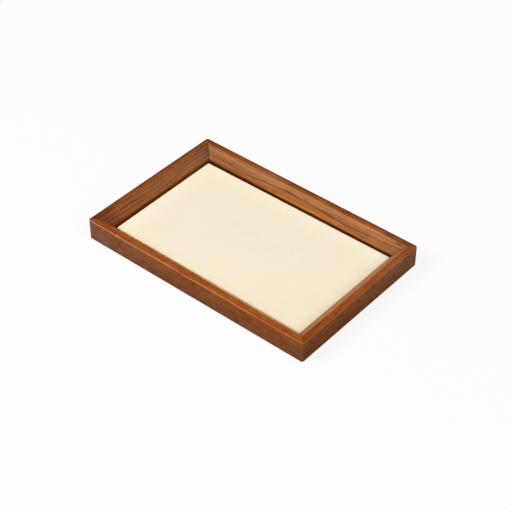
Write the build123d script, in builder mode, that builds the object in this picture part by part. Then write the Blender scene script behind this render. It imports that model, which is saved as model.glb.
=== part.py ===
# Jewelry display tray: four mitred, bevelled hardwood rails round a lift-out padded insert.
# Millimetres. The origin is the middle of the underside, X along the tray, Y across it, Z up.
# The front rail is on the -Y side and the right rail on the +X side.

import os

from build123d import *

# Outside of the tray
tray_length = 280.0
tray_width = 182.0
tray_height = 25.4
corner_radius = 2.6
top_edge_radius = 1.0
bottom_edge_radius = 2.4

# Rail moulding, whose stock starts a little too wide on the outside and is sanded back
rail_width = 18.0
rim_width = 7.3
rim_radius = 0.5
bevel_drop = 10.7
lip_radius = 0.8
sanding_allowance = 1.0

# Rebate under the rails, with the panel and the felt in it
rebate_width = 8.0
rebate_height = 4.4
panel_thickness = 3.0
panel_clearance = 0.3
felt_thickness = 0.8
felt_inset = 1.5

# Biscuits across the mitres
biscuit_length = 18.0
biscuit_width = 9.0
biscuit_thickness = 3.0
biscuit_tip_radius = 0.8
biscuit_height = 8.4
biscuit_clearance = 0.15

# T-headed brads that hold the panel in the rebate
brad_length = 10.0
brad_width = 1.25
brad_thickness = 1.0
brad_point_length = 1.2
brad_point_width = 0.3
brad_head_width = 2.2
brad_head_thickness = 0.6
brad_clearance = 0.05
brad_end_distance = 40.0
brads_per_long_rail = 4
brads_per_short_rail = 2

# Lift-out pad
pad_clearance = 1.7
pad_corner_radius = 1.1
pad_edge_roll = 0.5
cover_thickness = 0.6
cover_hem = 14.0
cover_fold_radius = 0.4
core_clearance = 0.1
board_thickness = 2.5
foam_thickness = 3.9
backing_thickness = 0.4
backing_inset = 5.0

# Heights that follow from the sizes above
lip_height = tray_height - bevel_drop
panel_underside = rebate_height - panel_thickness
felt_underside = panel_underside - felt_thickness
cover_underside = rebate_height + backing_thickness
board_underside = cover_underside + cover_thickness
foam_underside = board_underside + board_thickness
foam_top = foam_underside + foam_thickness
pad_top = foam_top + cover_thickness

# Plan sizes that follow from the sizes above
land_width = rail_width - rebate_width
panel_length = tray_length - 2 * (land_width + panel_clearance)
panel_width = tray_width - 2 * (land_width + panel_clearance)
pad_length = tray_length - 2 * (rail_width + pad_clearance)
pad_width = tray_width - 2 * (rail_width + pad_clearance)
core_inset = cover_thickness + core_clearance
core_length = pad_length - 2 * core_inset
core_width = pad_width - 2 * core_inset
core_corner_radius = pad_corner_radius - core_inset

# Each rail: its outer face as a plane (local x inward, local y up, normal along the rail), length and brads
rails = {
    "front_rail": (Plane((0, -tray_width / 2, 0), (0, 1, 0), (1, 0, 0)), tray_length, brads_per_long_rail),
    "back_rail": (Plane((0, tray_width / 2, 0), (0, -1, 0), (-1, 0, 0)), tray_length, brads_per_long_rail),
    "left_rail": (Plane((-tray_length / 2, 0, 0), (1, 0, 0), (0, -1, 0)), tray_width, brads_per_short_rail),
    "right_rail": (Plane((tray_length / 2, 0, 0), (-1, 0, 0), (0, 1, 0)), tray_width, brads_per_short_rail),
}

# Each biscuit: a level plane at the middle of its mitre, with local x along the mitre
biscuit_inset = rail_width / 2
biscuits = {
    f"{end}_{side}_biscuit": Plane(
        (x * (tray_length / 2 - biscuit_inset), y * (tray_width / 2 - biscuit_inset), biscuit_height),
        (x, y, 0),
    )
    for end, y in (("front", -1), ("back", 1))
    for side, x in (("left", -1), ("right", 1))
}


def brad_places(face, rail_length, brad_count):
    """Level planes where the brads enter along one rail, under the middle of its rebate, local x along it."""
    inset = rail_width - rebate_width / 2
    first = brad_end_distance - rail_length / 2
    step = (rail_length - 2 * brad_end_distance) / (brad_count - 1)
    points = [face.from_local_coords((inset, panel_underside, first + i * step)) for i in range(brad_count)]
    return [Plane(point, x_dir=face.z_dir, z_dir=(0, 0, 1)) for point in points]


def biscuit_outline(clearance=0.0):
    """A lens with blunt tips, or the outline of its slot when it is given a clearance."""
    half_length = biscuit_length / 2 + clearance
    half_width = biscuit_width / 2 + clearance
    with BuildSketch() as outline:
        with BuildLine():
            ThreePointArc((-half_length, 0), (0, half_width), (half_length, 0))
            ThreePointArc((half_length, 0), (0, -half_width), (-half_length, 0))
        make_face()
        fillet(outline.vertices(), biscuit_tip_radius + clearance)
    return outline.sketch


def make_brad(clearance=0.0):
    """A brad standing on its head at the origin, or its hole when it is given a clearance."""
    with BuildPart() as brad:
        with BuildSketch(Plane.XZ):
            with BuildLine():
                Polyline(
                    (0, 0),
                    (brad_head_width / 2, 0),
                    (brad_head_width / 2, brad_head_thickness),
                    (brad_width / 2, brad_head_thickness),
                    (brad_width / 2, brad_length - brad_point_length),
                    (brad_point_width / 2, brad_length),
                    (0, brad_length),
                    close=True,
                )
            make_face()
            mirror(about=Plane.YZ)
            if clearance:
                offset(amount=clearance, kind=Kind.INTERSECTION)
        extrude(amount=brad_thickness / 2 + clearance, both=True)
    return brad.part


# Section of the rail stock, with x inward from the finished outer face and y up
with BuildSketch() as moulding:
    with BuildLine():
        Polyline(
            (-sanding_allowance, 0),
            (land_width, 0),
            (land_width, rebate_height),
            (rail_width, rebate_height),
            (rail_width, lip_height),
            (rim_width, tray_height),
            (-sanding_allowance, tray_height),
            close=True,
        )
    make_face()
    fillet(moulding.vertices().sort_by_distance((rail_width, lip_height))[0], lip_radius)
    fillet(moulding.vertices().sort_by_distance((rim_width, tray_height))[0], rim_radius)

# Outside of the glued-up tray once its edges are sanded round
with BuildPart() as sanded_block:
    with BuildSketch():
        RectangleRounded(tray_length, tray_width, corner_radius)
    extrude(amount=tray_height)
    fillet(sanded_block.edges().group_by(Axis.Z)[-1], top_edge_radius)
    fillet(sanded_block.edges().group_by(Axis.Z)[0], bottom_edge_radius)

biscuit_lens = biscuit_outline()
biscuit_slot = biscuit_outline(biscuit_clearance)
brad = make_brad()
brad_hole = make_brad(brad_clearance)
all_brad_places = [place for rail in rails.values() for place in brad_places(*rail)]

os.makedirs("parts", exist_ok=True)

# Rails: a length of moulding, mitred, sanded, then slotted for the biscuits and holed by the brads
for name, (face, rail_length, brad_count) in rails.items():
    half_length = rail_length / 2
    with BuildPart() as rail:
        with BuildSketch(face):
            add(moulding.sketch)
        extrude(amount=half_length + sanding_allowance, both=True)
        for end in (-1, 1):
            tray_corner = face.from_local_coords((0, 0, end * half_length))
            split(bisect_by=Plane(tray_corner, z_dir=face.x_dir + face.z_dir * end), keep=Keep.BOTTOM)
        add(sanded_block.part, mode=Mode.INTERSECT)
        with BuildSketch(*biscuits.values()):
            add(biscuit_slot)
        extrude(amount=biscuit_thickness / 2 + biscuit_clearance, both=True, mode=Mode.SUBTRACT)
        with Locations(*brad_places(face, rail_length, brad_count)):
            add(brad_hole, mode=Mode.SUBTRACT)
    rail.part.label = name
    export_step(rail.part, f"parts/{name}.step")

for name, level in biscuits.items():
    with BuildPart() as biscuit:
        with BuildSketch(level):
            add(biscuit_lens)
        extrude(amount=biscuit_thickness / 2, both=True)
    biscuit.part.label = name
    export_step(biscuit.part, f"parts/{name}.step")

with BuildPart() as base_panel:
    with BuildSketch(Plane.XY.offset(panel_underside)):
        Rectangle(panel_length, panel_width)
    extrude(amount=panel_thickness)
    with Locations(*all_brad_places):
        add(brad_hole, mode=Mode.SUBTRACT)
base_panel.part.label = "base_panel"
export_step(base_panel.part, "parts/base_panel.step")

with BuildPart() as panel_brads:
    with Locations(*all_brad_places):
        add(brad)
panel_brads.part.label = "panel_brads"
export_step(panel_brads.part, "parts/panel_brads.step")

with BuildPart() as base_felt:
    with BuildSketch(Plane.XY.offset(felt_underside)):
        Rectangle(panel_length - 2 * felt_inset, panel_width - 2 * felt_inset)
    extrude(amount=felt_thickness)
base_felt.part.label = "base_felt"
export_step(base_felt.part, "parts/base_felt.step")

with BuildPart() as pad_board:
    with BuildSketch(Plane.XY.offset(board_underside)):
        RectangleRounded(core_length, core_width, core_corner_radius)
    extrude(amount=board_thickness)
pad_board.part.label = "pad_board"
export_step(pad_board.part, "parts/pad_board.step")

with BuildPart() as pad_foam:
    with BuildSketch(Plane.XY.offset(foam_underside)):
        RectangleRounded(core_length, core_width, core_corner_radius)
    extrude(amount=foam_thickness)
pad_foam.part.label = "pad_foam"
export_step(pad_foam.part, "parts/pad_foam.step")

# Cover: cloth wrapped round the foam and the board, with its hem turned in underneath
with BuildPart() as pad_cover:
    with BuildSketch(Plane.XY.offset(cover_underside)):
        RectangleRounded(pad_length, pad_width, pad_corner_radius)
    extrude(amount=pad_top - cover_underside)
    fillet(pad_cover.edges().group_by(Axis.Z)[-1], pad_edge_roll)
    fillet(pad_cover.edges().group_by(Axis.Z)[0], cover_fold_radius)
    with BuildSketch(Plane.XY.offset(board_underside)):
        RectangleRounded(
            core_length + 2 * core_clearance, core_width + 2 * core_clearance, pad_corner_radius - cover_thickness
        )
    extrude(amount=foam_top - board_underside, mode=Mode.SUBTRACT)
    with BuildSketch(Plane.XY.offset(cover_underside)):
        Rectangle(pad_length - 2 * cover_hem, pad_width - 2 * cover_hem)
    extrude(amount=cover_thickness, mode=Mode.SUBTRACT)
pad_cover.part.label = "pad_cover"
export_step(pad_cover.part, "parts/pad_cover.step")

with BuildPart() as pad_backing:
    with BuildSketch(Plane.XY.offset(rebate_height)):
        Rectangle(pad_length - 2 * backing_inset, pad_width - 2 * backing_inset)
    extrude(amount=backing_thickness)
pad_backing.part.label = "pad_backing"
export_step(pad_backing.part, "parts/pad_backing.step")
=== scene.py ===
# Looks of the jewelry display tray: stained wood rails, a cream napped pad and what shows underneath.
# Metres, in the frame of the solids: the tray stands on the floor at z 0, X along it, the front rail at -Y.
# Lengths written as numbers are millimetres unless their comment says otherwise.

import math

import bmesh
import bpy
import numpy as np
from mathutils import Matrix, Vector


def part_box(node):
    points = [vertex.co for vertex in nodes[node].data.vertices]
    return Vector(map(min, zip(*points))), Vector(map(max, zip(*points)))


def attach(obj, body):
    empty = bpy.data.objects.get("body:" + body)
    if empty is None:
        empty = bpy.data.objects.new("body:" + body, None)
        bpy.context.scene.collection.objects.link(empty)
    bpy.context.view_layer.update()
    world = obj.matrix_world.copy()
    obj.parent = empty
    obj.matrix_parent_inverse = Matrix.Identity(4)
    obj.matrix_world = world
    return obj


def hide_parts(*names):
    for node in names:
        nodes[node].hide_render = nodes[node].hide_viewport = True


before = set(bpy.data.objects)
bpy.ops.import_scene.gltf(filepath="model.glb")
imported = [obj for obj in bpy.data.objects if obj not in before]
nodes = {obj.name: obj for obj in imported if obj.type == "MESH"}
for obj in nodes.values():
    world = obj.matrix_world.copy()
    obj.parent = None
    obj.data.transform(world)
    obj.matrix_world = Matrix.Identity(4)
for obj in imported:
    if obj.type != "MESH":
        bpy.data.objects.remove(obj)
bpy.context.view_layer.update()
scene = bpy.context.scene
millimetre = 0.001

# Camera, as the photograph was taken: angles in degrees, lengths in metres, the rest in its pixels
picture_side = 512
camera_azimuth = 40.24
camera_elevation = 40.98
camera_distance = 1.4737
camera_lift = 0.0004
clip_start = 0.05
clip_end = 20.0
focal_pixels = 1450.9
origin_pixel = (251.3, 251.4)
sensor_width = 36.0

# Lamps: name, azimuth and elevation in degrees, distance and side in metres, watts
lamps = (
    ("key", -32, 46, 4.8, 1.8, 182.0),
    ("fill", 70, 42, 5.4, 3.0, 137.6),
    ("top", 20, 85, 4.8, 3.6, 13.6),
)

# World: its colour, its strength as light, and its strength as the backdrop that is seen
world_color = (1.0, 0.985, 0.992, 1)
world_strength = 0.12
backdrop_strength = 0.985

# Floor: its side in metres, the glow and the grey under it that are seen, and the grey that lights the tray
floor_side = 16.0
floor_glow = (0.985, 0.970, 0.977, 1)
floor_glow_strength = 0.885
floor_seen = (0.115, 0.115, 0.115, 1)
floor_bounce = (0.10, 0.10, 0.10, 1)

# Stained wood in even light, from its darkest grain to its palest, then its arrises, paler from wear and a
# painted highlight
grain_dark = (0.115, 0.029, 0.006)
grain_brown = (0.215, 0.062, 0.013)
grain_plain = (0.300, 0.094, 0.021)
grain_pale = (0.385, 0.140, 0.038)
grain_stops = [(0.12, grain_dark), (0.34, grain_brown), (0.52, grain_plain), (0.80, grain_pale)]
rub_highlight_color = (0.66, 0.30, 0.14)
honey_color = (0.56, 0.17, 0.02)
nick_color = (0.90, 0.66, 0.46)

# Noises of the wood: scale along the grain and across it, per millimetre, then detail and roughness
wood_noises = {
    "wander": (0.012, 0.04, 2.0, 0.5),
    "ripple": (0.05, 0.35, 3.0, 0.5),
    "ring_cover": (0.013, 0.16, 2.0, 0.5),
    "fibre": (0.06, 1.6, 5.0, 0.62),
    "streak": (0.010, 0.30, 3.0, 0.55),
    "mottle": (0.09, 0.35, 4.0, 0.6),
    "speckle": (0.15, 0.60, 4.0, 0.75),
    "pore": (0.16, 4.2, 2.0, 0.6),
    "tone": (0.006, 0.03, 2.0, 0.5),
    "cloud": (0.022, 0.08, 3.0, 0.55),
    "nick": (0.30, 0.9, 2.0, 0.5),
}
seed_step = 170.0

# Growth rings: their width, how far two noises bend them, where in a ring its dark line starts and peaks, how
# bold the lines are, how they come and go, and how much is lost on the outer face, and of that on the rim
ring_width = 3.6
wander_reach = 8.0
ripple_reach = 1.6
late_start, late_peak = 0.40, 0.90
faintest_line, line_spread = 0.35, 0.9
ring_cover_fade = (0.30, 0.58, 0.15, 1.0)
line_loss, rim_share = 0.85, 0.6

# Shade of the grain, as a place on its ramp, and how much each noise moves it there
middle_shade = 0.54
fine_weights = {"fibre": 0.34, "mottle": 0.26, "speckle": 0.25}
bevel_contrast = 1.4
rim_contrast = 0.6
bevel_streaks, face_streaks = 0.42, 0.15
bevel_clouds, face_clouds = 0.22, 0.50
tone_change = 0.20
late_depth = 0.30
pore_fade = (0.60, 0.72)
pore_depth = 0.25

# Pale band at the top of a bevel: how its edge ripples and blurs, its shade, and the shade under its right end
band_ripple = 5.0
band_blur = 0.5
band_shade = 0.14
under_band_shade = -0.10

# Knot: its scale along and across the grain, how its edge ripples, where it starts and is full, and its depth
knot_scale = (0.16, 0.45, 0.45)
knot_ripple = 1.2
knot_edge, knot_core = 1.7, 0.6
knot_depth = 0.32

# Rail section that the looks follow, from the outer face inward and from the table up
rail_rim = 7.3
lip_inset = 18.0
lip_height = 14.7

# Bands of the wood, each with the two distances between which it fades in. From an outer arris:
arris_band = (0.7, 0.2)
# The paler outer arris, from wear and a painted highlight, then the darker outer arris:
highlight_side, highlight_top = (0.62, 0.30), (1.1, 0.65)
outer_dark_band = (0.8, 4.0)
# From the rim's inner arris, straight or inward:
# The paler inner arris, from wear and a painted highlight:
inner_highlight_band = (0.3, 0.9)
bevel_band = (0.0, 0.6)
bevel_tone_band = (-0.2, 0.6)
bevel_top_start, bevel_top_end = (0.0, 0.5), (3.2, 1.2)
bevel_gloss_band = (0.3, 1.5)
pale_band_start = (-0.3, 0.6)
glue_start = (-0.5, 1.0)
# From the outer face: for the painted shade and the gleam at the bevel's foot, and the painted shade under the
# lip:
bevel_foot = (13.6, 16.6)
gleam_foot = (14.0, 16.2)
recess_start = (lip_inset - 2.0, lip_inset - 1.0)
# From the table: the face's tints by height, painted bounce light at the bevel's foot, painted shade under the
# lip:
face_rise = (5.0, 20.0)
lip_bounce_band = (lip_height + 1.0, lip_height + 0.1)
recess_band = (lip_height + 1.3, lip_height - 1.2)
# From a mitre:
glue_width = (0.1, 0.9)
# A painted reflection beside a mitre:
strip_start, strip_end = (0.8, 1.6), (4.0, 2.6)
# A painted highlight on the upright corners:
upright_edge = (3.5, 1.0)
corner_reach = (16.0, 5.0)
# Painted shade towards the bevel's ends:
bevel_end_reach = (26.0, 2.0)
# From the rail's middle, the gleam's middle and the rim's ends:
middle_band = (-1.0, 1.0)
gleam_reach = (68.0, 26.0)
rim_end_reach = 45.0
# Along the rail, in half lengths from its middle:
whole_run = (-1.0, 1.0)
recess_run = (-0.5, 0.5)
lip_shade_run, lip_shade_strength = (-1.0, 0.5), (0.6, 1.0)
honey_run = (-0.5, 1.0)
nick_run = (-0.3, -0.8)
# The paler inner arris, from wear and a painted highlight:
inner_highlight_run = (-0.5, 0.5)
bevel_gloss_run = (-0.3, 0.3)

# Painted shade on the outer face: how its strength rises with height, and drops at its foot: two heights and two
# strengths
face_strength = (3.0, 22.0, 0.86, 1.12)
foot_strength = (0.8, 2.6, 0.45, 1.0)

# Wear and painted highlight: how dark the glue is, and how the paler arrises and their nicks come and go with
# their noises
glue_depth = 0.7
rub_highlight_fade = (0.30, 0.60, 0.55, 1.0)
nick_fade = (0.62, 0.68, 0.0, 0.8)

# Wood's bump, whose distance is in millimetres, its roughness, and its faint gloss
fibre_height, pore_height, late_height = 0.6, -0.8, 0.25
wood_bump = (0.05, 0.6)
wood_roughness, fibre_roughness, pore_roughness = 0.30, 0.22, 0.18
wood_specular = 0.012

# Tints that all the rails share: a painted highlight by the upright corners, and painted warm bounce light at
# the bevel's foot and under the lip
upright_highlight_tint = (0.98, 1.03, 1.35)
lip_bounce_tint = (1.0, 0.96, 0.25)

# Looks of each rail, whose left and right ends are those seen from outside the tray.
#   turn: degrees about Z that bring the rail to the front
#   pith: how far the pith of its growth rings lies outside its outer face and under the table, and how much
#       both grow per millimetre along it
#   tone, bevel_tone, end_tones: strength of its colour, of the bevel's next to it, as painted light, and of the
#       rim's two ends
#   rim_tint, bevel_tint, face_tint: where the change from a left to a right tint starts and ends, in half
#       lengths, and these two tints, which hold the painted light, shade and sheen of each face
#   recess_tint, recess_depths: colour of the dark line of painted shade in under the lip, and its depth at the
#       left and right
#   face_contrast, rim_clouds: how strong the fine grain of its outer face and the patches of its rim are
#   outer_rub_highlight, inner_rub_highlight: how pale its arrises are at the left and right, from wear and a
#       painted highlight
#   outer_darkening: how dark its outer arris is
# What only some have:
#   face_fade: tints of the outer face low on the left, low on the right and high up, its painted light and sheen
#       by height
#   corner_tint: tint of the outer face towards its right end
#   bevel_ends: tints of the bevel towards its left and right ends, a painted shade
#   bevel_top: tint of the bevel just under the inner arris, a painted highlight
#   bevel_gloss: roughness of the bevel at the left and right, as a share of the usual
#   pale_band: how far in the bevel's pale band reaches
#   knot: where a dark knot lies, by run, inward and height
#   mitre_reflection: tint of a strip along the right mitre, a painted reflection
#   lip_shade: tint of the bevel's foot, above the lip, a painted shade
#   lip_gleam: where along the rail the bevel's foot catches the light, and its tint there
rail_looks = {
    "front_rail": {
        "turn": 0,
        "pith": (131.0, -15.0, 0.012, -0.008),
        "tone": 1.06,
        "bevel_tone": 1.15,
        "end_tones": (0.94, 1.0),
        "rim_tint": (-1.0, -0.3, (1.14, 0.98, 1.10), (1.04, 0.82, 0.53)),
        "bevel_tint": (-0.5, 0.5, (1.42, 1.24, 0.75), (1.50, 1.80, 2.40)),
        "face_tint": (-1.0, -0.1, (0.94, 1.07, 2.05), (0.97, 0.96, 1.34)),
        "recess_tint": (0.37, 0.175, 0.02),
        "recess_depths": (0.5, 0.0),
        "face_contrast": 1.2,
        "rim_clouds": 0.50,
        "outer_rub_highlight": (0.85, 0.8),
        "inner_rub_highlight": (0.05, 0.15),
        "outer_darkening": 0.0,
        "face_fade": ((0.97, 1.07, 1.26), (0.98, 0.97, 1.00), (1.0, 1.0, 1.0)),
        "corner_tint": (0.84, 0.91, 1.08),
        "bevel_gloss": (1.0, 0.45),
    },
    "back_rail": {
        "turn": 180,
        "pith": (96.0, -48.0, -0.014, 0.010),
        "tone": 0.93,
        "bevel_tone": 1.06,
        "end_tones": (0.65, 0.74),
        "rim_tint": (-1.0, 0.0, (1.13, 0.96, 0.88), (1.03, 0.82, 0.66)),
        "bevel_tint": (-1.0, 1.0, (1.20, 1.41, 1.87), (1.10, 1.32, 2.10)),
        "face_tint": (-1.0, -0.1, (0.94, 1.07, 2.05), (0.97, 0.96, 1.34)),
        "recess_tint": (0.37, 0.175, 0.02),
        "recess_depths": (1.0, 1.0),
        "face_contrast": 1.2,
        "rim_clouds": 1.05,
        "outer_rub_highlight": (0.0, 0.0),
        "inner_rub_highlight": (0.12, 0.12),
        "outer_darkening": 0.95,
        "bevel_ends": ((0.79, 0.78, 0.86), (0.85, 0.88, 1.02)),
        "bevel_top": (0.98, 1.07, 1.27),
        "pale_band": 11.6,
        "knot": (-123.0, 8.5, 24.0),
        "mitre_reflection": (1.22, 1.25, 1.30),
        "lip_gleam": (-5.0, (1.28, 1.32, 1.05)),
    },
    "left_rail": {
        "turn": 90,
        "pith": (84.0, -66.0, 0.022, 0.012),
        "tone": 0.78,
        "bevel_tone": 1.19,
        "end_tones": (0.74, 0.68),
        "rim_tint": (-1.0, 0.3, (1.16, 1.08, 1.25), (1.06, 0.83, 0.74)),
        "bevel_tint": (-1.0, 0.2, (1.09, 1.33, 2.22), (1.08, 1.17, 1.70)),
        "face_tint": (-1.0, -0.1, (0.94, 1.07, 2.05), (0.97, 0.96, 1.34)),
        "recess_tint": (0.64, 0.36, 0.02),
        "recess_depths": (1.0, 1.0),
        "face_contrast": 1.2,
        "rim_clouds": 1.15,
        "outer_rub_highlight": (0.0, 0.0),
        "inner_rub_highlight": (0.0, 0.0),
        "outer_darkening": 0.90,
        "bevel_ends": ((0.80, 0.87, 1.15), (0.72, 0.76, 0.96)),
    },
    "right_rail": {
        "turn": -90,
        "pith": (134.0, -15.0, -0.012, 0.009),
        "tone": 0.95,
        "bevel_tone": 1.46,
        "end_tones": (1.0, 0.80),
        "rim_tint": (-0.2, 1.0, (1.06, 0.81, 0.61), (1.06, 0.88, 0.98)),
        "bevel_tint": (-1.0, 1.0, (1.04, 1.39, 2.58), (1.04, 1.39, 2.58)),
        "face_tint": (-0.4, 1.0, (1.01, 0.98, 1.30), (1.04, 1.22, 2.20)),
        "recess_tint": (0.37, 0.175, 0.02),
        "recess_depths": (1.0, 1.0),
        "face_contrast": 1.8,
        "rim_clouds": 0.80,
        "outer_rub_highlight": (0.45, 0.45),
        "inner_rub_highlight": (0.12, 0.08),
        "outer_darkening": 0.0,
        "face_fade": ((1.00, 0.93, 0.76), (1.00, 0.92, 0.70), (1.0, 1.03, 1.15)),
        "corner_tint": (0.98, 1.16, 1.50),
        "lip_shade": (0.55, 0.75, 0.93),
    },
}

# Cloths: colour, strength of the patches in it, size of a fibre, and sheen
pad_cloth = ((0.905, 0.820, 0.635), 0.05, 0.25, 0.35)
backing_cloth = ((0.50, 0.44, 0.35), 0.10, 0.5, 0.1)
felt_cloth = ((0.045, 0.026, 0.018), 0.25, 0.6, 0.4)
patch_scale = 0.035
brush_scales = (0.5, 0.12, 0.5)
cloth_roughness = 0.95
cloth_specular = 0.15
sheen_roughness = 0.5
nap_bump = (0.06, 0.35)

# Pad's cover: tints of painted light and shade towards the tray's near edges (front and right) and its far ones,
# and the distances that they reach, on the whole top and on the roll at its edge
near_edge_tint, near_edge_reach = (1.0, 0.96, 0.87), 12.0
far_edge_tint, far_edge_reach = (1.045, 1.05, 1.055), 26.0
near_side_tint, near_side_band = (1.0, 0.965, 0.95), (40.0, 170.0)
near_roll_tint, near_roll_band = (1.0, 0.88, 0.80), (0.5, 2.6)
far_roll_tint, far_roll_band = (0.50, 0.46, 0.42), (0.55, 0.1)
roll_drop = (0.8, 0.4)

# Hidden materials: the colours that their noises pass through, and these noises' scales per millimetre
board_stops = [(0.32, (0.17, 0.10, 0.05)), (0.52, (0.30, 0.19, 0.105)), (0.70, (0.42, 0.29, 0.17))]
chip_share = 0.7
beech_stops = [(0.3, (0.48, 0.30, 0.16)), (0.7, (0.66, 0.46, 0.28))]
beech_grain_scales = (0.25, 0.25, 2.0)
fleck_color = (0.30, 0.17, 0.09)
fleck_scales = (1.2, 1.2, 6.0)
fleck_fade, fleck_depth = (0.6, 0.7), 0.5
steel_stops = [(0.3, (0.42, 0.42, 0.43)), (0.7, (0.62, 0.62, 0.64))]
draw_mark_scales = (9.0, 9.0, 0.4)
steel_roughness, mark_roughness = 0.2, 0.3
foam_stops = [(0.0, (0.60, 0.56, 0.44)), (0.6, (0.84, 0.81, 0.70))]
foam_scale = 1.6

# How many steps a ring of a soft piece has at a corner and along a long or a short side
corner_steps = 6
long_side_steps = 44
short_side_steps = 32

# Cover's rings: the hem's as insets and heights, the fold's and the roll's by their angles in degrees, the
# wall's by their share of its height, and the crown's by their insets
hem_rings = ((14.0, 0.1), (12.0, 0.0), (6.0, 0.0), (2.0, 0.0), (0.6, 0.02))
hem_corner = 1.0
fold_angles = (30, 60, 90)
wall_shares = (0.12, 0.3, 0.5, 0.7, 0.88)
roll_angles = (0, 18, 36, 54, 72, 90)
crown_insets = (1.2, 2.2, 3.8, 6.0, 9.0, 13.0, 18.0, 25.0, 34.0, 46.0, 58.0)

# Cover's radii, how far its sides draw in, its edge sinks and its middle rises, and its lining's rings
cover_corner = 1.1
cover_fold = 0.5
cover_roll = 0.5
cover_waist = 0.10
cover_sink = 0.05
cover_sink_reach = 5.0
cover_crown = 0.15
corner_growth = 0.5
cloth_thickness = 0.58
lining_ceiling_insets = (40.0, 12.0, 3.0, 0.9)
lining_wall_inset = 0.62
lining_floor_insets = (0.9, 6.0, 13.9)
lining_bend = 0.3
lining_corner = 0.5

# Folds in the cover's front and back near its corners: where they start and end, how much that narrows towards
# the top, how far they stand out, over what length they end, and how near the side a point has to be
pleat_start = 0.4
pleat_reach = 7.0
pleat_taper = 0.8
pleat_lift = 0.3
pleat_blend = 0.6
pleat_depth = 1.5

# How far each corner of the pad is off square, by the signs of its x and y
pad_shifts = {(-1, 1): (-0.85, -0.45), (1, 1): (0.55, 0.8), (-1, -1): (0.45, 0.0), (1, -1): (0.15, -0.9)}

# Slabs: corner radius, the lower rings as insets and rises from the underside, and the upper as insets and drops
foam_shape = (0.6, ((0.6, 0.0), (0.1, 0.3), (0.0, 1.9)), ((0.1, 0.4), (0.5, 0.05), (3.0, 0.0)))
liner_shape = (1.5, ((3.0, 0.0), (0.4, 0.02), (0.05, 0.12)), ((0.0, 0.1), (0.3, 0.0), (3.0, 0.0)))
felt_shape = (2.0, ((4.0, 0.0), (0.5, 0.04), (0.1, 0.2)), ((0.0, 0.15), (0.1, 0.0), (4.0, 0.0)))


def direction(azimuth, elevation):
    """The unit vector from the tray towards an azimuth, which is 0 in front, and an elevation, in degrees."""
    azimuth, elevation = math.radians(azimuth), math.radians(elevation)
    level = math.cos(elevation)
    return Vector((math.sin(azimuth) * level, -math.cos(azimuth) * level, math.sin(elevation)))


def make_camera():
    back = direction(camera_azimuth, camera_elevation)
    right = direction(camera_azimuth + 90, 0)
    up = back.cross(right)
    middle = picture_side / 2
    aside = right * ((middle - origin_pixel[0]) / focal_pixels)
    aside += up * ((origin_pixel[1] - middle) / focal_pixels)
    data = bpy.data.cameras.new("camera")
    data.sensor_width = sensor_width
    data.lens = focal_pixels * sensor_width / picture_side
    data.clip_start = clip_start
    data.clip_end = clip_end
    camera = bpy.data.objects.new("camera", data)
    camera.location = (back + aside).normalized() * camera_distance + Vector((0, 0, camera_lift))
    camera.rotation_mode = "QUATERNION"
    camera.rotation_quaternion = Matrix((right, up, back)).transposed().to_quaternion()
    scene.collection.objects.link(camera)
    scene.camera = camera


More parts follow.
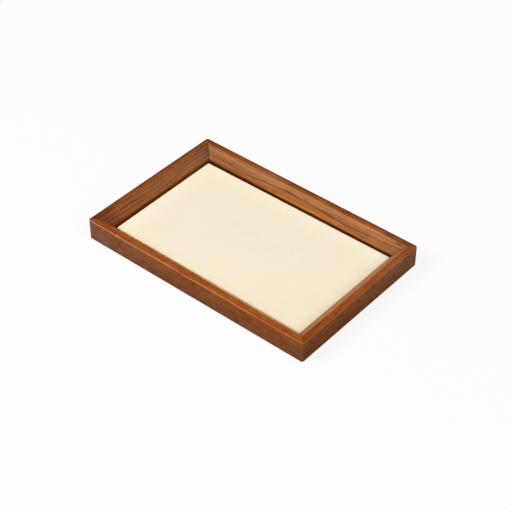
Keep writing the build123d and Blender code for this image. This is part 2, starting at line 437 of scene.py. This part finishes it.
class Shader:
    """A material with one Principled surface, and short calls that add linked nodes to it."""

    def __init__(self, name):
        self.material = bpy.data.materials.new(name)
        self.material.use_nodes = True
        self.tree = self.material.node_tree
        self.surface = self.tree.nodes["Principled BSDF"]
        self.place = self.tree.nodes.new("ShaderNodeTexCoord").outputs["Object"]

    def put(self, socket, value):
        if isinstance(value, bpy.types.NodeSocket):
            self.tree.links.new(value, socket)
        else:
            socket.default_value = value

    def node(self, kind, inputs, output=0, **settings):
        made = self.tree.nodes.new("ShaderNode" + kind)
        for name, value in settings.items():
            setattr(made, name, value)
        for name, value in inputs.items():
            self.put(made.inputs[name], value)
        return made.outputs[output]

    def math(self, operation, *values):
        return self.node("Math", dict(enumerate(values)), operation=operation)

    def times(self, product, *factors):
        for factor in factors:
            product = self.math("MULTIPLY", product, factor)
        return product

    def less(self, value, taken):
        return self.math("SUBTRACT", value, taken)

    def varied(self, value, noise, amount):
        """The value moved up and down by a noise, which lies round a half, times that amount."""
        return self.math("MULTIPLY_ADD", self.less(noise, 0.5), amount, value)

    def within(self, mask, factor):
        """The factor where the mask is 1, and 1 where it is 0."""
        return self.math("MULTIPLY_ADD", self.less(factor, 1.0), mask, 1.0)

    def scaled(self, vector, scales):
        return self.node("VectorMath", {0: vector, 1: scales}, operation="MULTIPLY")

    def moved(self, vector, offset):
        return self.node("VectorMath", {0: vector, 1: offset}, operation="ADD")

    def length(self, vector):
        return self.node("VectorMath", {0: vector}, output="Value", operation="LENGTH")

    def parts(self, vector):
        return self.node("SeparateXYZ", {"Vector": vector}).node.outputs[:]

    def in_millimetres(self):
        return self.scaled(self.place, (1 / millimetre,) * 3)

    def noise(self, vector, scale=1.0, detail=3.0, roughness=0.5):
        inputs = {"Vector": vector, "Scale": scale, "Detail": detail, "Roughness": roughness}
        return self.node("TexNoise", inputs)

    def fade(self, value, start, end, low=0.0, high=1.0):
        inputs = {"Value": value, "From Min": start, "From Max": end, "To Min": low, "To Max": high}
        return self.node("MapRange", inputs, interpolation_type="SMOOTHSTEP")

    def ramp(self, factor, stops):
        socket = self.node("ValToRGB", {"Fac": factor})
        elements = socket.node.color_ramp.elements
        while len(elements) < len(stops):
            elements.new(0.5)
        for element, (position, color) in zip(elements, stops):
            element.position = position
            element.color = (*color, 1)
        return socket

    def mix(self, factor, a, b, blend="MIX"):
        a, b = (value if isinstance(value, bpy.types.NodeSocket) else (*value, 1) for value in (a, b))
        return self.node("Mix", {0: factor, 6: a, 7: b}, output=2, data_type="RGBA", blend_type=blend)

    def tinted(self, color, tint, mask=1.0):
        """The colour times the tint where the mask is 1, and as it was where it is 0."""
        return self.mix(mask, color, tint, "MULTIPLY")

    def strengthened(self, color, strength):
        return self.node("VectorMath", {0: color, "Scale": strength}, operation="SCALE")

    def bump(self, height, distance, strength):
        """A bump whose distance is in millimetres."""
        return self.node("Bump", {"Height": height, "Distance": distance * millimetre, "Strength": strength})

    def finish(self, **inputs):
        """Sets the surface's sockets, each named in words joined by underscores."""
        for name, value in inputs.items():
            self.put(self.surface.inputs[name.replace("_", " ")], value)
        return self.material


class RailWood(Shader):
    """Stained hardwood whose grain runs along one rail.

    run is the place along the rail, to the right of its middle as seen from outside the tray, inward the
    distance from its outer face, and height the one from the table.
    """

    def __init__(self, name, rail):
        super().__init__(name)
        self.look = rail_looks[rail]
        low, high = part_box(rail)
        turn = self.look["turn"]
        along, across = (0, 1) if turn in (0, 180) else (1, 0)
        self.half_length = (high[along] - low[along]) / 2 / millimetre
        self.rail_height = (high.z - low.z) / millimetre
        outer_face = max(abs(low[across]), abs(high[across])) / millimetre
        inputs = {
            "Vector": self.place,
            "Location": (0, outer_face, 0),
            "Rotation": (0, 0, math.radians(turn)),
            "Scale": (1 / millimetre,) * 3,
        }
        self.turned = self.node("Mapping", inputs)
        self.run, self.inward, self.height = self.parts(self.turned)
        self.below_rim = self.less(self.rail_height, self.height)
        self.grown = self.moved(self.turned, (seed_step * list(rail_looks).index(rail), 0, 0))
        self.noises = {}

        self.on_rim = self.fade(self.below_rim, *arris_band)
        self.on_face = self.fade(self.inward, *arris_band)
        self.on_bevel = self.past_rim(*bevel_band)
        self.right_half = self.fade(self.run, *middle_band)
        from_end = self.less(self.half_length, self.math("ABSOLUTE", self.run))
        self.to_mitre = self.less(from_end, self.inward)
        self.from_mitre = self.math("ABSOLUTE", self.to_mitre)
        self.late = self.late_wood()
        self.pore = self.fade(self.grained("pore"), *pore_fade)

    def grained(self, name):
        """One of the wood's noises, drawn out along the grain."""
        if name not in self.noises:
            along, across, detail, roughness = wood_noises[name]
            drawn_out = self.scaled(self.grown, (along, across, across))
            self.noises[name] = self.noise(drawn_out, detail=detail, roughness=roughness)
        return self.noises[name]

    def past_rim(self, start, end, low=0.0, high=1.0):
        """A fade between two distances inward from the rim's inner arris."""
        return self.fade(self.inward, rail_rim + start, rail_rim + end, low, high)

    def along(self, start, end, low=0.0, high=1.0):
        """A fade between two places along the rail, in half lengths from its middle."""
        return self.fade(self.run, start * self.half_length, end * self.half_length, low, high)

    def change(self, start, end, left, right):
        """The left tint, changed to the right one between two places along the rail, in half lengths."""
        return self.mix(self.along(start, end), left, right)

    def late_wood(self):
        """How strongly the late wood of the growth rings shows, as thin dark lines that come and go."""
        pith_out, pith_down, run_out, run_down = self.look["pith"]
        drift = self.times(self.grained("ripple"), ripple_reach)
        drift = self.math("MULTIPLY_ADD", self.grained("wander"), wander_reach, drift)
        from_pith = self.math("ADD", self.inward, self.math("MULTIPLY_ADD", self.run, run_out, pith_out))
        over_pith = self.math("ADD", self.height, self.math("MULTIPLY_ADD", self.run, run_down, pith_down))
        squared = self.math("MULTIPLY_ADD", from_pith, from_pith, self.times(over_pith, over_pith))
        rings = self.math("DIVIDE", self.math("ADD", self.math("SQRT", squared), drift), ring_width)
        share = self.math("FRACT", rings)
        line = self.times(self.fade(share, late_start, late_peak), self.fade(share, 1.0, late_peak))
        bold = self.node("TexWhiteNoise", {"W": self.math("FLOOR", rings)}, noise_dimensions="1D")
        bold = self.math("MULTIPLY_ADD", bold, line_spread, faintest_line)
        shown = self.fade(self.grained("ring_cover"), *ring_cover_fade)
        off_bevel = self.math("MAXIMUM", self.on_face, self.times(self.on_rim, rim_share))
        return self.times(line, bold, shown, self.math("MULTIPLY_ADD", off_bevel, -line_loss, 1.0))

    def grain(self):
        """The wood's own colour: fine grain, streaks, patches, growth rings and pores."""
        fine = -sum(fine_weights.values()) / 2
        for name, weight in fine_weights.items():
            fine = self.math("MULTIPLY_ADD", self.grained(name), weight, fine)
        rough = self.math("MULTIPLY_ADD", self.on_face, self.look["face_contrast"], bevel_contrast)
        rough = self.math("MULTIPLY_ADD", self.on_rim, rim_contrast, rough)
        shade = self.math("MULTIPLY_ADD", fine, rough, middle_shade)
        streaky = self.math("MULTIPLY_ADD", self.on_face, face_streaks - bevel_streaks, bevel_streaks)
        shade = self.varied(shade, self.grained("streak"), streaky)
        cloudy = self.math("MULTIPLY_ADD", self.on_face, face_clouds - bevel_clouds, bevel_clouds)
        cloudy = self.math("MULTIPLY_ADD", self.on_rim, self.look["rim_clouds"], cloudy)
        shade = self.varied(shade, self.grained("cloud"), cloudy)
        shade = self.varied(shade, self.grained("tone"), tone_change)
        shade = self.math("MULTIPLY_ADD", self.late, -late_depth, shade)
        if "pale_band" in self.look:
            shade = self.math("ADD", shade, self.pale_band(self.look["pale_band"]))
        if "knot" in self.look:
            shade = self.less(shade, self.knot(self.look["knot"]))
        return self.mix(self.times(self.pore, pore_depth), self.ramp(shade, grain_stops), grain_dark)

    def pale_band(self, reach):
        """A paler band along the top of the bevel, which is a little darker under it towards the right."""
        edge = self.varied(self.inward, self.grained("ripple"), band_ripple)
        below = self.along(*whole_run, 0.0, under_band_shade)
        band = self.fade(edge, reach + band_blur, reach - band_blur, below, band_shade)
        return self.times(band, self.past_rim(*pale_band_start))

    def knot(self, place):
        """A small dark knot, longer along the grain."""
        away = self.moved(self.turned, [-value for value in place])
        away = self.length(self.scaled(away, knot_scale))
        away = self.math("MULTIPLY_ADD", self.grained("ripple"), knot_ripple, away)
        return self.fade(away, knot_edge, knot_core, 0.0, knot_depth)

    def face_tint(self):
        """The tint of the outer face, partly painted light and shade, which differs from end to end, from low to
        high and at the corners.
        """
        tint = self.change(*self.look["face_tint"])
        # Painted light and sheen that change from low to high on the outer face
        if "face_fade" in self.look:
            low_left, low_right, high_up = self.look["face_fade"]
            low_down = self.change(*whole_run, low_left, low_right)
            tint = self.tinted(tint, self.mix(self.fade(self.height, *face_rise), low_down, high_up))
        if "corner_tint" in self.look:
            near_corner = self.times(self.fade(self.from_mitre, *corner_reach), self.right_half)
            tint = self.tinted(tint, self.look["corner_tint"], near_corner)
        # A painted highlight on the upright corners
        return self.tinted(tint, upright_highlight_tint, self.fade(self.from_mitre, *upright_edge))

    def tint(self):
        """The tint each face takes its own way: the stain's, and painted light and shade, dark in under the lip.
        """
        look = self.look
        # Each face's tint: the stain's, with painted light, shade and a bluish painted sheen
        tint = self.mix(self.on_rim, self.change(*look["bevel_tint"]), self.change(*look["rim_tint"]))
        tint = self.mix(self.on_face, tint, self.face_tint())
        # A painted highlight just under the inner arris
        if "bevel_top" in look:
            below_arris = self.times(self.past_rim(*bevel_top_start), self.past_rim(*bevel_top_end))
            tint = self.tinted(tint, look["bevel_top"], below_arris)
        # A painted reflection beside the mitre
        if "mitre_reflection" in look:
            strip = self.times(self.fade(self.to_mitre, *strip_start), self.fade(self.to_mitre, *strip_end))
            tint = self.tinted(tint, look["mitre_reflection"], self.times(strip, self.right_half))
        # Painted shade on the bevel's foot, above the lip
        if "lip_shade" in look:
            above_lip = self.along(*lip_shade_run, *lip_shade_strength)
            above_lip = self.times(self.fade(self.inward, *bevel_foot), above_lip)
            tint = self.tinted(tint, look["lip_shade"], above_lip)
        if "lip_gleam" in look:
            middle, gleam_tint = look["lip_gleam"]
            from_gleam = self.math("ABSOLUTE", self.less(self.run, middle))
            gleam = self.times(self.fade(self.inward, *gleam_foot), self.fade(from_gleam, *gleam_reach))
            tint = self.tinted(tint, gleam_tint, gleam)
        # Painted warm bounce light at the bevel's foot and under the lip
        lip_bounce = self.times(self.fade(self.height, *lip_bounce_band), self.on_bevel)
        tint = self.tinted(tint, lip_bounce_tint, lip_bounce)
        # Painted shade, dark in under the lip
        recess = self.times(self.fade(self.inward, *recess_start), self.fade(self.height, *recess_band))
        recess = self.times(recess, self.along(*recess_run, *look["recess_depths"]))
        tint = self.mix(recess, tint, look["recess_tint"])
        # Painted shade towards the bevel's ends
        if "bevel_ends" in look:
            ends = self.times(self.fade(self.to_mitre, *bevel_end_reach), self.on_bevel)
            tint = self.tinted(tint, self.mix(self.right_half, *look["bevel_ends"]), ends)
        return tint

    def strength(self):
        """How strong the colour is: less towards the table, a painted shade, and at the rim's ends, and more on
        the bevel, painted light.
        """
        # Painted shade on the outer face towards the table and at its foot
        low_down = self.times(self.fade(self.height, *face_strength), self.fade(self.height, *foot_strength))
        left, right = self.look["end_tones"]
        left = self.fade(self.run, -self.half_length, rim_end_reach - self.half_length, left)
        right = self.fade(self.run, self.half_length, self.half_length - rim_end_reach, right)
        return self.times(
            self.within(self.on_face, low_down),
            self.look["tone"],
            # the bevel's strength, painted light on it
            self.past_rim(*bevel_tone_band, 1.0, self.look["bevel_tone"]),
            self.within(self.on_rim, self.times(left, right)),
        )

    def wear_and_highlights(self, color):
        """The colour with dark glue in the mitres, a darker outer arris on some rails, and arrises paler from
        wear and a painted highlight, with nicks.
        """
        in_mitre = self.fade(self.from_mitre, *glue_width, glue_depth, 0.0)
        color = self.mix(self.times(in_mitre, self.past_rim(*glue_start)), color, grain_dark)
        # A darker band along the outer arris, as strong as each rail sets
        from_outer = self.math("MAXIMUM", self.inward, self.below_rim)
        darkening = self.fade(from_outer, *outer_dark_band, self.look["outer_darkening"], 0.0)
        color = self.mix(darkening, color, grain_dark)

        # The outer arris paler, from wear and a painted highlight, honey-coloured towards the right, with bright
        # nicks
        patchy = self.fade(self.grained("ripple"), *rub_highlight_fade)
        at_outer = self.times(self.fade(self.inward, *highlight_side), self.fade(self.below_rim, *highlight_top))
        highlight = self.times(at_outer, self.along(*whole_run, *self.look["outer_rub_highlight"]), patchy)
        color = self.mix(highlight, color, self.change(*honey_run, rub_highlight_color, honey_color))
        nicked = self.times(self.fade(self.grained("nick"), *nick_fade), self.along(*nick_run), highlight)
        color = self.mix(nicked, color, nick_color)

        # The rim's inner arris paler, from wear and a painted highlight
        from_inner = self.node("CombineXYZ", {"X": self.less(self.inward, rail_rim), "Y": self.below_rim})
        at_inner = self.fade(self.length(from_inner), *inner_highlight_band, 1.0, 0.0)
        highlight = self.times(at_inner, patchy, self.along(*inner_highlight_run, *self.look["inner_rub_highlight"]))
        return self.mix(highlight, color, rub_highlight_color)

    def relief(self):
        """The height of the bump: proud fibre and late wood, and sunk pores."""
        relief = self.times(self.pore, pore_height)
        relief = self.math("MULTIPLY_ADD", self.grained("fibre"), fibre_height, relief)
        return self.math("MULTIPLY_ADD", self.late, late_height, relief)

    def roughness(self):
        roughness = self.math("MULTIPLY_ADD", self.grained("fibre"), fibre_roughness, wood_roughness)
        roughness = self.math("MULTIPLY_ADD", self.pore, pore_roughness, roughness)
        if "bevel_gloss" in self.look:
            smooth = self.along(*bevel_gloss_run, *self.look["bevel_gloss"])
            roughness = self.times(roughness, self.within(self.past_rim(*bevel_gloss_band), smooth))
        return roughness


def wood_material(name, rail):
    """Stained, satin hardwood for one rail."""
    s = RailWood(name, rail)
    color = s.strengthened(s.tinted(s.grain(), s.tint()), s.strength())
    return s.finish(
        Base_Color=s.wear_and_highlights(color),
        Roughness=s.roughness(),
        Normal=s.bump(s.relief(), *wood_bump),
        Specular_IOR_Level=wood_specular,
    )


def pad_painted_light(s, color):
    """The pad's cloth with painted light and shade: warmer bounce light towards the near edges, paler towards
    the far ones, and darker rolls there.
    """
    half_length, half_width, _, top = half_sizes("pad_cover")
    x, y, z = s.parts(s.in_millimetres())
    drop = s.less(top, z)
    on_top = s.fade(drop, *roll_drop)
    from_near = s.math("MINIMUM", s.less(half_length, x), s.math("ADD", y, half_width))
    from_far = s.math("MINIMUM", s.math("ADD", x, half_length), s.less(half_width, y))
    color = s.tinted(color, near_edge_tint, s.fade(from_near, 0.0, near_edge_reach, 1.0, 0.0))
    color = s.tinted(color, far_edge_tint, s.fade(from_far, far_edge_reach, 0.0))
    color = s.tinted(color, far_roll_tint, s.times(s.fade(from_far, *far_roll_band), on_top))
    color = s.tinted(color, near_side_tint, s.fade(s.less(x, y), *near_side_band))
    return s.tinted(color, near_roll_tint, s.times(s.fade(from_near, *near_roll_band, 1.0, 0.0), on_top))


def cloth_material(name, color, mottle, fibre_size, sheen, more_tints=None):
    """Short napped cloth: fine fibre bump, faint patches where the nap lies another way, and a soft sheen."""
    s = Shader(name)
    place = s.in_millimetres()
    patches = s.noise(place, patch_scale, detail=4.0, roughness=0.6)
    brushed = s.noise(s.scaled(place, brush_scales), detail=4.0, roughness=0.6)
    nap = s.noise(place, 1 / fibre_size, detail=3.0, roughness=0.7)
    value = s.varied(s.varied(1.0, patches, mottle), brushed, mottle)
    color = s.strengthened(color, s.varied(value, nap, 2 * mottle))
    if more_tints:
        color = more_tints(s, color)
    return s.finish(
        Base_Color=color,
        Roughness=cloth_roughness,
        Specular_IOR_Level=cloth_specular,
        Sheen_Weight=sheen,
        Sheen_Roughness=sheen_roughness,
        Normal=s.bump(nap, *nap_bump),
    )


def board_material(name):
    """Fibreboard: pressed fibres in two browns."""
    s = Shader(name)
    place = s.in_millimetres()
    chips = s.noise(place, scale=0.9, detail=5.0, roughness=0.7)
    cloud = s.noise(place, scale=0.05, detail=3.0)
    shade = s.math("MULTIPLY_ADD", chips, chip_share, s.times(cloud, 1 - chip_share))
    bump = s.bump(chips, distance=0.04, strength=0.5)
    return s.finish(Base_Color=s.ramp(shade, board_stops), Roughness=0.75, Normal=bump)


def beech_material(name):
    """Pressed beech: pale, with short dark flecks."""
    s = Shader(name)
    place = s.in_millimetres()
    grain = s.noise(s.scaled(place, beech_grain_scales), detail=4.0)
    fleck = s.fade(s.noise(s.scaled(place, fleck_scales), detail=2.0), *fleck_fade)
    color = s.mix(s.times(fleck, fleck_depth), s.ramp(grain, beech_stops), fleck_color)
    return s.finish(Base_Color=color, Roughness=0.65, Normal=s.bump(grain, distance=0.03, strength=0.5))


def steel_material(name):
    """Bright drawn wire with fine draw marks."""
    s = Shader(name)
    marks = s.noise(s.scaled(s.in_millimetres(), draw_mark_scales), detail=3.0)
    roughness = s.math("MULTIPLY_ADD", marks, mark_roughness, steel_roughness)
    return s.finish(Base_Color=s.ramp(marks, steel_stops), Metallic=1.0, Roughness=roughness)


def foam_material(name):
    """Open-cell foam."""
    s = Shader(name)
    cells = s.node("TexVoronoi", {"Vector": s.in_millimetres(), "Scale": foam_scale}, output="Distance")
    bump = s.bump(cells, distance=0.2, strength=0.8)
    return s.finish(Base_Color=s.ramp(cells, foam_stops), Roughness=0.95, Normal=bump)


def paint(node, material):
    mesh = nodes[node].data
    mesh.materials.clear()
    mesh.materials.append(material)


def half_sizes(node):
    """Half the length and width of a solid, and its lowest and highest z, in millimetres."""
    low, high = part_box(node)
    return high.x / millimetre, high.y / millimetre, low.z / millimetre, high.z / millimetre


def outline(half_length, half_width, corner):
    """Points round a rectangle with round corners, closer together near them."""
    points = []
    for quarter in range(4):
        sign = np.array(((1, 1), (-1, 1), (-1, -1), (1, -1))[quarter])
        middle = sign * (half_length - corner, half_width - corner)
        for step in range(corner_steps + 1):
            angle = math.radians(90 * (quarter + step / corner_steps))
            points.append(middle + corner * np.array((math.cos(angle), math.sin(angle))))
        along = np.array(((-1, 0), (0, -1), (1, 0), (0, 1))[quarter])
        run = 2 * ((half_width if quarter % 2 else half_length) - corner)
        steps = short_side_steps if quarter % 2 else long_side_steps
        start = points[-1]
        for step in range(1, steps):
            share = 0.5 - 0.5 * math.cos(math.pi * step / steps)
            points.append(start + along * run * share)
    return np.array(points)


def ring(half_length, half_width, inset, height, corner):
    """One ring of a piece's mesh, in millimetres: an outline at that inset and height."""
    half_length, half_width = half_length - inset, half_width - inset
    flat = outline(half_length, half_width, min(corner, 0.95 * half_width))
    return np.column_stack((flat, np.full(len(flat), height)))


def spine(half_length, half_width, height):
    """The ring shrunk onto the middle line, which closes a top or an underside."""
    flat = outline(half_length, half_width, 1.0)
    reach = half_length - half_width
    x = np.clip(flat[:, 0], -reach, reach)
    return np.column_stack((x, np.zeros(len(flat)), np.full(len(flat), height)))


def ringed_piece(name, rings, material, body, replaced):
    """A smooth closed piece through rings of equally many points, which stands for one soft solid."""
    mesh = bmesh.new()
    loops = [[mesh.verts.new(point * millimetre) for point in points] for points in rings]
    for lower, upper in zip(loops, loops[1:]):
        for i in range(len(lower)):
            j = (i + 1) % len(lower)
            mesh.faces.new((lower[i], lower[j], upper[j], upper[i]))
    bmesh.ops.remove_doubles(mesh, verts=mesh.verts, dist=1e-7)
    data = bpy.data.meshes.new(name)
    mesh.to_mesh(data)
    mesh.free()
    data.shade_smooth()
    data.materials.append(material)
    piece = bpy.data.objects.new(name, data)
    scene.collection.objects.link(piece)
    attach(piece, body)
    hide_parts(replaced)
    return piece


def make_slab(name, shape, material, body, replaced):
    """A thin closed sheet with softened edges, in the place of one soft solid."""
    half_length, half_width, bottom, top = half_sizes(replaced)
    corner, lower, upper = shape
    rings = [spine(half_length, half_width, bottom)]
    rings += [ring(half_length, half_width, inset, bottom + rise, corner) for inset, rise in lower]
    rings += [ring(half_length, half_width, inset, top - drop, corner) for inset, drop in upper]
    rings.append(spine(half_length, half_width, top))
    return ringed_piece(name, rings, material, body, replaced)


def skew(points, half_length, half_width):
    """Moves a ring with the pad's corners, because the pad doesn't lie quite square in its well."""
    east, north = points[:, 0] / half_length, points[:, 1] / half_width
    shares = {corner: (1 + corner[0] * east) * (1 + corner[1] * north) / 4 for corner in pad_shifts}
    for axis in (0, 1):
        points[:, axis] += sum(shares[corner] * pad_shifts[corner][axis] for corner in pad_shifts)


def pleat(points, half_length, half_width, bottom, top):
    """Lifts the folds of the cloth out of a ring's front and back near its corners, most at the bottom."""
    for point in points:
        rise = (point[2] - bottom) / (top - bottom)
        from_corner = half_length - abs(point[0])
        reach = pleat_reach * (1 - pleat_taper * rise)
        if abs(point[1]) > half_width - pleat_depth and pleat_start < from_corner < reach:
            lift = pleat_lift * (1 - rise) * min(1, (reach - from_corner) / pleat_blend)
            point[1] += math.copysign(lift, point[1])


def make_cover():
    """The cloth, as a closed shell round the board and the foam.

    Outside, its hem is turned in underneath, its corners are folded, its sides are a little drawn in, and a
    tight roll leads to a top with a low crown. Its inside runs under the top, down the sides and over the hem.
    """
    half_length, half_width, bottom, top = half_sizes("pad_cover")
    edge_top = top - cover_sink
    roll_start = edge_top - cover_roll

    def level(inset, height, corner):
        return ring(half_length, half_width, inset, height, corner)

    hem = [level(inset, bottom + height, hem_corner) for inset, height in hem_rings]
    fold = []
    for angle in fold_angles:
        turn = math.radians(angle)
        inset, height = cover_fold * (1 - math.sin(turn)), cover_fold * (1 - math.cos(turn))
        fold.append(level(inset, bottom + height, cover_corner))
    wall = []
    for share in wall_shares:
        height = bottom + cover_fold + (roll_start - bottom - cover_fold) * share
        wall.append(level(cover_waist * math.sin(math.pi * share), height, cover_corner))
    roll = []
    for angle in roll_angles:
        turn = math.radians(angle)
        inset, height = cover_roll * (1 - math.cos(turn)), cover_roll * math.sin(turn)
        roll.append(level(inset, roll_start + height, cover_corner))
    crown = []
    for inset in crown_insets:
        rise = cover_sink * (1 - math.exp(-inset / cover_sink_reach)) + cover_crown * inset / half_width
        crown.append(level(inset, edge_top + rise, cover_corner + corner_growth * inset))
    crown.append(spine(half_length, half_width, top + cover_crown))

    outside = hem + fold + wall + roll + crown
    for points in outside:
        skew(points, half_length, half_width)
    for points in hem[-1:] + fold + wall + roll[:1]:
        pleat(points, half_length, half_width, bottom, top)

    floor, ceiling = bottom + cloth_thickness, top - cloth_thickness
    inside = [spine(half_length, half_width, ceiling)]
    for inset in lining_ceiling_insets:
        inside.append(level(inset, ceiling, lining_corner + corner_growth * inset))
    for height in (ceiling - lining_bend, floor + lining_bend):
        inside.append(level(lining_wall_inset, height, lining_corner))
    for inset in lining_floor_insets:
        inside.append(level(inset, floor, lining_corner))
    rings = inside + outside
    return ringed_piece("wrapped_cloth", rings, cloths["pad_cloth"], "pad", "pad_cover")


def make_floor():
    """A floor that looks white to the camera and in reflections, holds a faint shadow and lights little."""
    mesh = bpy.data.meshes.new("floor")
    half = floor_side / 2
    corners = [(-half, -half, 0), (half, -half, 0), (half, half, 0), (-half, half, 0)]
    mesh.from_pydata(corners, [], [(0, 1, 2, 3)])
    floor = bpy.data.objects.new("floor", mesh)
    scene.collection.objects.link(floor)
    s = Shader("floor")
    rays = s.node("LightPath", {}).node.outputs
    seen = s.math("MAXIMUM", rays["Is Camera Ray"], rays["Is Glossy Ray"])
    seen = s.math("MAXIMUM", seen, rays["Is Transmission Ray"])
    paper = s.node("BsdfDiffuse", {"Color": floor_bounce})
    glow = s.node("Emission", {"Color": floor_glow, "Strength": floor_glow_strength})
    white = s.node("AddShader", {0: glow, 1: s.node("BsdfDiffuse", {"Color": floor_seen})})
    surface = s.node("MixShader", {0: seen, 1: paper, 2: white})
    output = s.tree.nodes["Material Output"]
    s.tree.links.new(surface, output.inputs["Surface"])
    s.tree.nodes.remove(s.surface)
    mesh.materials.append(s.material)


def make_world():
    """An even dim light, which the camera and reflections see as a pale backdrop."""
    world = bpy.data.worlds.new("studio")
    world.use_nodes = True
    tree = world.node_tree
    background = tree.nodes["Background"]
    background.inputs["Color"].default_value = world_color
    rays = tree.nodes.new("ShaderNodeLightPath").outputs
    seen = rays["Is Camera Ray"]
    for name in ("Is Glossy Ray", "Is Transmission Ray"):
        either = tree.nodes.new("ShaderNodeMath")
        either.operation = "MAXIMUM"
        tree.links.new(seen, either.inputs[0])
        tree.links.new(rays[name], either.inputs[1])
        seen = either.outputs[0]
    level = tree.nodes.new("ShaderNodeMapRange")
    level.inputs["To Min"].default_value = world_strength
    level.inputs["To Max"].default_value = backdrop_strength
    tree.links.new(seen, level.inputs["Value"])
    tree.links.new(level.outputs[0], background.inputs["Strength"])
    scene.world = world


def make_lamp(name, azimuth, elevation, distance, side, watts):
    """A square soft light aimed at the tray."""
    data = bpy.data.lights.new(name, "AREA")
    data.size = side
    data.energy = watts
    lamp = bpy.data.objects.new(name, data)
    towards = direction(azimuth, elevation)
    lamp.location = towards * distance
    lamp.rotation_mode = "QUATERNION"
    lamp.rotation_quaternion = towards.to_track_quat("Z", "Y")
    scene.collection.objects.link(lamp)


scene.view_settings.view_transform = "Standard"
make_camera()
make_floor()
make_world()
for lamp in lamps:
    make_lamp(*lamp)

for rail in rail_looks:
    paint(rail, wood_material("stained_wood_" + rail, rail))
paint("base_panel", board_material("fibreboard"))
paint("pad_board", board_material("pad_fibreboard"))
paint("panel_brads", steel_material("brad_steel"))
for name in nodes:
    if name.endswith("biscuit"):
        paint(name, beech_material("beech_" + name))

cloths = {
    "pad_cloth": cloth_material("pad_cloth", *pad_cloth, pad_painted_light),
    "backing_cloth": cloth_material("backing_cloth", *backing_cloth),
    "base_felt": cloth_material("base_felt", *felt_cloth),
}
cover = make_cover()

foam = make_slab("foam_sheet", foam_shape, foam_material("foam"), "pad", "pad_foam")

liner = make_slab("pad_liner", liner_shape, cloths["backing_cloth"], "pad", "pad_backing")

felt = make_slab("felt_sheet", felt_shape, cloths["base_felt"], "tray", "base_felt")
